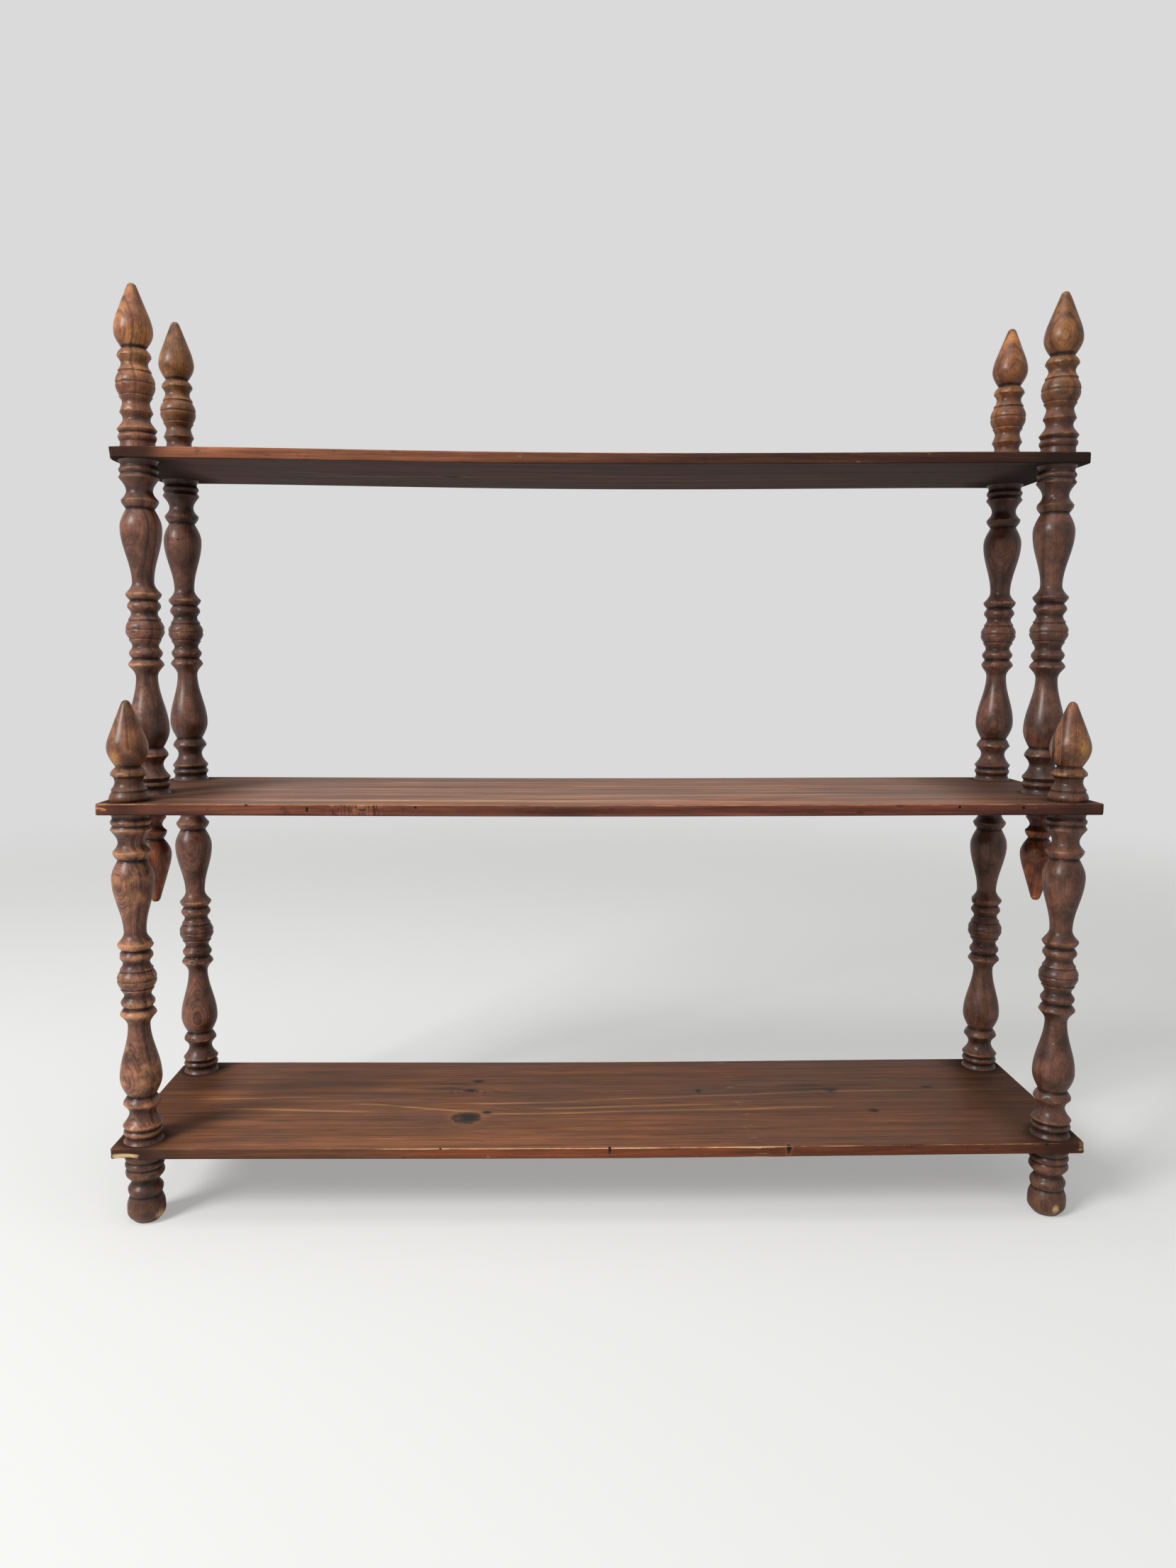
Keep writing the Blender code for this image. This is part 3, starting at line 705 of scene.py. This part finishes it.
def makePlank(node, look, material):
    low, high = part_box(node)
    rear, front, arris = plankShape["rearCorner"], plankShape["frontCorner"], plankShape["arris"]
    plan = cornerArc((high.x - rear, high.y - rear), rear, 0)
    plan += cornerArc((low.x + rear, high.y - rear), rear, math.pi / 2)
    plan += cornerArc((low.x + front, low.y + front), front, math.pi)
    plan += cornerArc((high.x - front, low.y + front), front, 1.5 * math.pi)
    bm = bmesh.new()
    base = bm.faces.new([bm.verts.new((x, y, low.z)) for x, y in plan])
    grown = bmesh.ops.extrude_face_region(bm, geom=[base])["geom"]
    upper = [v for v in grown if isinstance(v, bmesh.types.BMVert)]
    bmesh.ops.translate(bm, vec=(0, 0, high.z - low.z), verts=upper)
    bmesh.ops.recalc_face_normals(bm, faces=bm.faces)
    rims = [e for e in bm.edges if abs(e.verts[0].co.z - e.verts[1].co.z) < 1e-6]
    bmesh.ops.bevel(bm, geom=rims, offset=arris, segments=plankShape["arrisSteps"], profile=0.5,
                    affect="EDGES")

    steps = round((high.x - low.x) / plankShape["cutX"])
    cuts = [((low.x + (high.x - low.x) * i / steps, 0, 0), (1, 0, 0)) for i in range(1, steps)]
    steps = round((high.y - low.y) / plankShape["cutY"])
    cuts += [((0, low.y + (high.y - low.y) * i / steps, 0), (0, 1, 0)) for i in range(1, steps)]
    for inset in plankShape["rimCuts"]:
        cuts += [((low.x + inset, 0, 0), (1, 0, 0)), ((high.x - inset, 0, 0), (1, 0, 0))]
        cuts += [((0, low.y + inset, 0), (0, 1, 0)), ((0, high.y - inset, 0), (0, 1, 0))]
    cuts += [((0, 0, low.z + share * (high.z - low.z)), (0, 0, 1)) for share in plankShape["layerCuts"]]
    for place, facing in cuts:
        bmesh.ops.bisect_plane(bm, geom=bm.verts[:] + bm.edges[:] + bm.faces[:], dist=1e-6, plane_co=place,
                               plane_no=facing)

    rim, side, under, raw = [bm.verts.layers.float.new(key) for key in ("arris", "side", "under", "raw")]
    for v in bm.verts:
        x, y, z = v.co
        inset = min(x - low.x, high.x - x, y - low.y, high.y - y)
        depth = min(high.z - z, z - low.z)
        turned = max(0.0, 1 - abs(inset - depth) / arris) if max(inset, depth) < arris * 1.05 else 0.0
        v[rim] = turned * (1.0 if z > (low.z + high.z) / 2 else plankShape["lowerArris"])
        v[side] = 1.0 if inset < arris * 0.5 else 0.0
        v[under] = 1.0 if z - low.z < arris * 0.5 else 0.0
        ragged = noise.noise(Vector((x, y, z)) * plankShape["wearPerMetre"] + Vector((0, 0, look["seed"])))
        if turned:  # arrises are rubbed unevenly
            pull = plankShape["arrisWear"] * max(0.0, plankShape["arrisWorn"] + ragged) * turned
            v.co.z += pull if z < (low.z + high.z) / 2 else -pull
            v.co.y += pull if y < (low.y + high.y) / 2 else -pull
        for chip in look["chips"]:
            reach = max(abs(v.co[i] - chip["place"][i]) / chip["size"][i] for i in range(3))
            bite = max(0.0, 1.0 - reach + plankShape["chipRagged"] * ragged)
            v.co += Vector(chip["push"]) * min(1.0, bite * plankShape["chipSteep"])
            v[raw] = max(v[raw], min(chip["bare"], bite * plankShape["bareSteep"]))
        if abs(x) < postX:  # the thin plank has sagged between its posts
            v.co.z -= look["sag"] * (1 - (x / postX) ** 2) ** 2
    mesh = bpy.data.meshes.new(look["name"])
    bm.normal_update()
    bm.to_mesh(mesh)
    bm.free()
    mesh.polygons.foreach_set("use_smooth", [True] * len(mesh.polygons))
    mesh.set_sharp_from_angle(angle=plankShape["sharpAngle"])
    mesh.materials.append(material)
    piece = bpy.data.objects.new(look["name"], mesh)
    scene.collection.objects.link(piece)
    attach(piece, "root")
    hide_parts(node)


# Flat-sawn softwood boards, planed, stained and waxed by hand: long grain lines with honey streaks, knots,
# reddish edges whose arrises are rubbed to bare wood, dirt round the posts.
plankGrain = {
    "ringGap": 0.0026, "summer": 0.3,
    "sway": 0.009, "swayPerMetre": (2.6, 16.0, 16.0),
    "across": (0.0, 1.0, 1.0),
    "strandsPerMetre": (26.0, 1100.0, 1100.0),   # fibre bundles about 1 mm wide, drawn coarse to show
    "patternsPerMetre": {
        "bands": (4.5, 150.0, 150.0),            # lighter and darker streaks, 7 mm wide and finer
        "threads": (14.0, 560.0, 560.0),         # long dark dashes, 2 mm apart
        "mottle": (7.0, 22.0, 22.0),             # clouds of stain
        "scuffs": (70.0, 190.0, 190.0),          # knocks and scratches, 5 to 15 mm long
        "worn": (55.0, 420.0, 420.0),            # how the bare line along an arris is broken up
        "wrinkles": (520.0, 60.0, 150.0),        # torn grain across an edge, 2 mm apart
        "rim": (150.0, 150.0, 150.0),            # the ragged rim of a knot
    },
    "fineness": {"Detail": 5.0, "Roughness": 0.66},
    "runFade": 0.03, "tornFade": 0.01,           # metres
    "yearDark": (0.0, 1.0, 0.1, 0.65), "dashes": (0.46, 0.26, 0.0, 0.85),
    "smear": (1.0, 0.2, 0.0, 0.12), "smearDashes": (0.42, 0.32),
    "wanderPerMetre": 9.0, "wander": 0.006,      # metres that a honey streak strays
    "paleThreads": (0.62, 0.8, 0.0, 0.5), "streakTorn": (0.42, 0.66, 0.3, 1.0),
    "fibreLight": (0.25, 0.75, 0.68, 1.32), "mottleLight": (0.3, 0.7, 0.66, 1.34),
    "bandsBetween": (0.3, 0.7), "wrinkleLight": (0.36, 0.62, 0.2, 2.2),
    "underGrey": (0.0, 1.0, 0.55, 0.1), "grey": "#62494a", "edgeTint": (0.0, 1.0, 0.9, 0.3),
    "knocks": ((0.38, 0.27, 0.75, "dirt"), (0.66, 0.77, 0.5, "bare")), "knocksOnFaces": 0.2,
    "dirtShadeReach": (0.3, 0.7, 0.020, 0.050), "postRadius": 0.0150, "postDirtShade": 0.95,   # metres
    "knotReach": 5, "knotSwell": 1.3, "knotRagged": 2.2,   # times its size
    "knotCoats": ((3.35, 2.25, 0.1, "honey"), (2.4, 2.0, 0.85, "#2c1a12"), (2.0, 1.5, 0.95, "#100a08")),
    "arrisBare": 0.6, "rubbedRise": 0.14, "rubbedMost": 0.9,
    "splinters": 1.3, "splintersBare": (1.1, 1.5, 0.0, 0.9),
    "glossBetween": (0.3, 0.7), "rougher": (-0.06, 0.1), "dull": {"rubbed": 0.25, "under": 0.2, "dirt": 0.4},
    "relief": {"dashes": -0.1, "fibre": 0.16, "bands": 0.3, "mottle": 0.4, "scuffs": 0.2},   # mm
}


def runAlong(add, along, first, last, fade):  # 1 between two places along a board, fading out past them
    start = add("MapRange SMOOTHSTEP", along, first - fade, first)
    end = add("MapRange SMOOTHSTEP", along, last + fade, last)
    return add("Math MULTIPLY", start, end)


def plankPine(look, grain):
    material, add = newMaterial("dark stained spruce, planed " + look["name"])
    place = add("TexCoord", output="Object")
    spread = add("SeparateXYZ", place).node.outputs
    told = {key: add("Attribute", output="Fac", attribute_name=key)
            for key in ("arris", "side", "under", "raw")}
    drawn = {}
    for key, perMetre in grain["patternsPerMetre"].items():
        along = add("VectorMath MULTIPLY", place, perMetre)
        along = add("VectorMath ADD", along, (look["seed"],) * 3)
        drawn[key] = add("TexNoise", {"Vector": along, "Scale": 1.0, **grain["fineness"]}, output="Fac")

    # knots bend the rings round them
    bend = nearest = None
    for knot in look["knots"]:
        size = knot["size"]
        off = awayFrom(add, place, knot["place"], knot["squeeze"])
        swell = add("MapRange SMOOTHSTEP", off, 0.0, size * grain["knotReach"], size * grain["knotSwell"],
                    0.0)
        share = add("Math DIVIDE", off, size)
        if bend is None:
            bend, nearest = swell, share
        else:
            bend = add("Math ADD", bend, swell)
            nearest = add("Math MINIMUM", nearest, share)
    log = add("VectorMath SUBTRACT", place, look["pith"])
    late, year, fibre = woodFigure(add, log, {**grain, "knots": bend})

    # late wood, and dark dashes that crowd together in smears
    dashes = add("MapRange", drawn["threads"], *grain["dashes"])
    amount = add("MapRange", year, *grain["yearDark"])
    amount = add("Math MULTIPLY", late, amount)
    amount = add("Math MAXIMUM", amount, dashes)
    for x, y, reachX, reachY in look["smears"]:
        off = awayFrom(add, place, (x, y, 0.0), (1 / reachX, 1 / reachY, 0.0))
        crowd = add("MapRange SMOOTHSTEP", off, *grain["smear"])
        crowd = add("Math SUBTRACT", drawn["threads"], crowd)
        crowd = add("MapRange", crowd, *grain["smearDashes"])
        amount = add("Math MAXIMUM", amount, crowd)

    # honey streaks wander along the board
    wander = add("TexNoise", {"W": spread["X"], "Scale": grain["wanderPerMetre"], "Detail": 1.0},
                 output="Fac", noise_dimensions="1D")
    wander = add("Math MULTIPLY_ADD", wander, grain["wander"], -grain["wander"] / 2)
    pale = add("MapRange", drawn["threads"], *grain["paleThreads"])
    torn = add("MapRange", drawn["threads"], *grain["streakTorn"])
    full, gone = look["streakWidth"]
    for first, startY, last, endY in look["streaks"]:
        line = add("MapRange", spread["X"], first, last, startY, endY)
        line = add("Math ADD", line, wander)
        line = add("Math SUBTRACT", line, spread["Y"])
        line = add("Math ABSOLUTE", line)
        line = add("MapRange SMOOTHSTEP", line, gone, full)
        for share in (runAlong(add, spread["X"], first, last, grain["runFade"]), torn):
            line = add("Math MULTIPLY", line, share)
        pale = add("Math MAXIMUM", pale, line)

    # undersides are greyer; edges are redder and change tone along their length
    grey = add("MapRange", pale, *grain["underGrey"])
    grey = add("Math MULTIPLY", told["under"], grey)
    turn = add("MapRange SMOOTHSTEP", spread["X"], *look["edgeTurn"])
    rust = layCoats(add, hexColour(look["edgeLeft"]), [(turn, look["edgeRight"])])
    tint = add("MapRange", dashes, *grain["edgeTint"])
    tint = add("Math MULTIPLY", told["side"], tint)
    colour = layCoats(add, hexColour(look["early"]), [(amount, look["late"]), (pale, look["honey"]),
                                                      (grey, grain["grey"]), (tint, rust)])

    # lighter and darker: painted shade on the undersides, fibres, streaks, clouds, the board as a whole, and
    # torn grain on the edges
    bands = look["banding"]
    light = add("MapRange", told["under"], 0.0, 1.0, 1.0, look["underside"])
    light = shadeBy(add, light, [
        (fibre, *grain["fibreLight"]), (drawn["bands"], *grain["bandsBetween"], 1 - bands, 1 + bands),
        (drawn["mottle"], *grain["mottleLight"]), (spread["X"], *look["fadeRight"]),
        (spread["Y"], *look["fadeBack"])])
    for first, last in look["tornRuns"]:
        run = runAlong(add, spread["X"], first, last, grain["tornFade"])
        run = add("Math MULTIPLY", run, told["side"])
        wrinkle = add("MapRange", drawn["wrinkles"], *grain["wrinkleLight"])
        light = shadeBy(add, light, [(run, 0.0, 1.0, 1.0, wrinkle)])
    colour = add("VectorMath SCALE", colour, {"Scale": light})

    # knocks and scratches, most on the edges
    for low, high, most, paint in grain["knocks"]:
        scuff = add("MapRange", drawn["scuffs"], low, high)
        share = add("MapRange", told["side"], 0.0, 1.0, most * grain["knocksOnFaces"], most)
        scuff = add("Math MULTIPLY", scuff, share)
        colour = layCoats(add, colour, [(scuff, look[paint])], light)

    # darker round the posts and on the ends: dirt, and painted shadow round the posts
    mirror = add("Math ABSOLUTE", spread["X"])
    flat = add("CombineXYZ", mirror, spread["Y"])
    near = None
    for y in look["postY"]:
        gap = add("VectorMath DISTANCE", flat, (postX, y, 0.0), output="Value")
        near = gap if near is None else add("Math MINIMUM", near, gap)
    reach = add("MapRange", drawn["mottle"], *grain["dirtShadeReach"])
    dirt = add("MapRange", near, grain["postRadius"], reach, grain["postDirtShade"], 0.0)
    ends = add("MapRange SMOOTHSTEP", mirror, postX - look["endReach"], postX - look["endReach"] / 4, 0.0,
               look["endDirt"])
    dirt = add("Math MAXIMUM", dirt, ends)
    coats = [(dirt, look["dirt"])]

    # the knots' own colours: a warm surround, a dark rim, a black heart
    ragged = add("Math MULTIPLY_ADD", drawn["rim"], grain["knotRagged"], nearest)
    for low, high, most, paint in grain["knotCoats"]:
        inside = add("MapRange SMOOTHSTEP", ragged, low, high, 0.0, most)
        coats.append((inside, look.get(paint, paint)))
    colour = layCoats(add, colour, coats)

    # bare wood on rubbed arrises and in chips
    rubbed = add("Math MULTIPLY_ADD", told["arris"], grain["arrisBare"], drawn["worn"])
    for first, last, more in look["rubbedRuns"]:
        run = runAlong(add, spread["X"], first, last, grain["runFade"])
        rubbed = add("Math MULTIPLY_ADD", run, more, rubbed)
    rubbed = add("MapRange", rubbed, look["rubbedFrom"], look["rubbedFrom"] + grain["rubbedRise"], 0.0,
                 grain["rubbedMost"])
    splint = add("Math MULTIPLY_ADD", drawn["worn"], grain["splinters"], told["raw"])
    splint = add("MapRange", splint, *grain["splintersBare"])
    rubbed = add("Math MAXIMUM", rubbed, splint)
    colour = layCoats(add, colour, [(rubbed, look["bare"])], light)
    colour = addMarks(add, colour, look["marks"], drawn["rim"])

    patterns = {**drawn, **told, "dashes": dashes, "fibre": fibre, "rubbed": rubbed, "dirt": dirt}
    smoother, rougher = (look["rough"] + more for more in grain["rougher"])
    gloss = add("MapRange", drawn["mottle"], *grain["glossBetween"], smoother, rougher)
    for key, more in grain["dull"].items():
        gloss = add("Math MULTIPLY_ADD", patterns[key], more, gloss)
    relief = 0.0
    for key, rise in grain["relief"].items():
        relief = add("Math MULTIPLY_ADD", patterns[key], rise, relief)
    finishWood(add, colour, gloss, relief, {"IOR": 1.5, "Specular IOR Level": look["shine"]})
    return material


# Metres throughout. streakWidth: half a honey streak, where it is full and where it ends; streaks: x and y
# at the start, x and y at the end; smears: x, y and how far each way; rubbedRuns: from x, to x, and how much
# more; tornRuns: from x, to x; chips: place, reach, which way the wood is gone, and how bare it is.
# the underside share is painted shade: it darkens each board's underside
anyWay = (1.0, 1.0, 1.0)
planks = {
    "top_shelf": {
        "name": "topShelf", "seed": 3.0, "sag": 0.0028, "postY": (rearRow, innerRow),
        "pith": (0.1, 0.02, 0.62),
        "knots": [dict(place=(-0.12, 0.03, 0.59), squeeze=(0.6, 1.0, 0.4), size=0.005)],
        "early": "#724a37", "late": "#3d2720", "honey": "#a87a58", "dirt": "#241813", "bare": "#b98a5c",
        "edgeLeft": "#845036", "edgeRight": "#37211a", "edgeTurn": (-0.25, 0.12),
        "rubbedFrom": 1.04, "rubbedRuns": [(-0.3, 0.0, 0.04)],
        "streakWidth": (0.0004, 0.0046),
        "streaks": [(-0.24, 0.019, -0.169, 0.0385), (-0.22, 0.036, -0.06, 0.026), (-0.2, 0.05, 0.02, 0.045),
                    (-0.12, 0.012, 0.05, 0.02), (0.02, 0.04, 0.2, 0.035)],
        "smears": [], "tornRuns": [],
        "fadeRight": (0.1, 0.35, 1.0, 0.75), "fadeBack": (-0.04, 0.09, 0.95, 1.05),
        "underside": 0.46, "rough": 0.52, "shine": 0.12, "endDirt": 0.9, "endReach": 0.035, "banding": 0.5,
        "chips": [dict(place=(-0.375, -0.041, 0.5885), size=(0.011, 0.009, 0.012),
                       push=(0.0026, 0.0026, 0.0), bare=0.0),
                  dict(place=(-0.370, -0.041, 0.5863), size=(0.012, 0.006, 0.004),
                       push=(0.0, 0.001, 0.0012), bare=0.0)],
        "marks": [],
    },
    "middle_shelf": {
        "name": "middleShelf", "seed": 11.0, "sag": 0.0010, "postY": (rearRow, innerRow, frontRow),
        "pith": (-0.1, -0.03, 0.37),
        "knots": [dict(place=(-0.18, -0.092, 0.3256), squeeze=(0.25, 1.0, 0.8), size=0.0011)],
        # these colours are lighter and greyer than the other boards': partly painted sheen on the top
        "early": "#8d5e45", "late": "#4c3126", "honey": "#b68e6c", "dirt": "#241813", "bare": "#c08a5a",
        "edgeLeft": "#6b3a2b", "edgeRight": "#623126", "edgeTurn": (-0.2, 0.2),
        "rubbedFrom": 0.98, "rubbedRuns": [(-0.3, 0.1, 0.1), (0.1, 0.3, 0.05)],
        "streakWidth": (0.0010, 0.0060),
        "streaks": [(-0.3, 0.0, -0.02, 0.01), (-0.1, -0.04, 0.2, -0.03), (0.0, 0.03, 0.28, 0.025),
                    (-0.25, -0.07, 0.05, -0.062), (-0.16, 0.055, 0.12, 0.06)],
        "smears": [(-0.1, 0.02, 0.12, 0.02), (0.12, -0.055, 0.1, 0.018), (0.2, 0.0, 0.1, 0.02)],
        "tornRuns": [(-0.197, -0.169)],
        "fadeRight": (0.18, 0.34, 1.0, 0.7), "fadeBack": (0.0, 0.09, 1.0, 0.9),
        "underside": 0.4, "rough": 0.48, "shine": 0.16, "endDirt": 0.6, "endReach": 0.1, "banding": 0.7,
        "chips": [dict(place=(-0.372, -0.089, 0.3255), size=(0.006, 0.005, 0.007),
                       push=(0.0003, 0.0003, 0.0), bare=0.45)],
        "marks": [("hole", (-0.2636, -0.091, 0.3292), 0.0011, anyWay),
                  ("hole", (0.2655, -0.091, 0.3275), 0.0011, anyWay),
                  ("hole", (0.3135, -0.091, 0.327), 0.0013, anyWay),
                  ("hole", (-0.2191, -0.091, 0.3258), 0.001, (1.0, 1.0, 0.5)),
                  ("hole", (-0.1393, -0.091, 0.3273), 0.001, anyWay)],
    },
    "bottom_shelf": {
        "name": "bottomShelf", "seed": 23.0, "sag": 0.0014, "postY": (rearRow, frontRow),
        "pith": (0.0, 0.03, -0.01),
        "knots": [dict(place=(-0.1075, -0.034, 0.065), squeeze=(0.75, 0.8, 0.4), size=0.0076),
                  dict(place=(-0.1085, 0.023, 0.065), squeeze=(0.6, 1.0, 0.4), size=0.0034),
                  dict(place=(0.1443, -0.091, 0.0628), squeeze=(1.0, 0.35, 0.35), size=0.0016)],
        "early": "#825236", "late": "#3c2216", "honey": "#c8935c", "dirt": "#221610", "bare": "#dab686",
        "edgeLeft": "#4e3122", "edgeRight": "#6d3823", "edgeTurn": (-0.2, -0.1),
        "rubbedFrom": 1.12, "rubbedRuns": [(-0.15, 0.12, 0.32), (0.12, 0.33, 0.22)],
        "streakWidth": (0.0002, 0.0026),
        "streaks": [(-0.1857, -0.0065, -0.1169, -0.02), (-0.0889, -0.0049, 0.2053, 0.0164),
                    (0.2053, 0.0164, 0.3389, 0.0175), (-0.0733, -0.0255, 0.1781, -0.0174),
                    (-0.0335, -0.0145, 0.0876, -0.0103), (-0.291, -0.0155, -0.196, -0.022),
                    (-0.316, 0.006, -0.252, 0.008)],
        "smears": [(-0.122, 0.033, 0.04, 0.03), (0.19, 0.02, 0.05, 0.03)], "tornRuns": [],
        "fadeRight": (-0.1, 0.34, 1.0, 0.62), "fadeBack": (-0.07, 0.07, 1.08, 0.8),
        "underside": 0.6, "rough": 0.5, "shine": 0.15, "endDirt": 0.45, "endReach": 0.05, "banding": 0.38,
        "chips": [dict(place=(-0.364, -0.091, 0.0572), size=(0.013, 0.004, 0.004),
                       push=(0.0, 0.0022, 0.0006), bare=1.0),
                  dict(place=(0.373, -0.089, 0.063), size=(0.005, 0.004, 0.005),
                       push=(-0.0004, 0.0004, 0.0), bare=0.5)],
        "marks": [("hole", (-0.1237, -0.091, 0.0642), 0.0013, anyWay),
                  ("hole", (0.0259, -0.091, 0.064), 0.001, anyWay),
                  ("hole", (0.3447, -0.091, 0.064), 0.001, anyWay),
                  ("black", (0.006, -0.091, 0.0625), 0.0012, (1.0, 0.4, 0.3)),
                  ("black", (0.2047, 0.0187, 0.0634), 0.003, (0.5, 0.8, 0.5)),
                  ("black", (0.2294, -0.0254, 0.0634), 0.003, (0.7, 0.8, 0.5)),
                  ("black", (0.2895, 0.024, 0.0634), 0.0025, (0.4, 1.0, 0.5)),
                  ("black", (0.0894, 0.0203, 0.0634), 0.0025, (0.8, 0.6, 0.5)),
                  ("black", (-0.0915, -0.0231, 0.0634), 0.0024, (0.6, 0.8, 0.5)),
                  ("black", (-0.1025, 0.0439, 0.0634), 0.0026, (0.5, 0.8, 0.5))],
    },
}
for node, look in planks.items():
    makePlank(node, look, plankPine(look, plankGrain))
print("planks made:", len(planks))
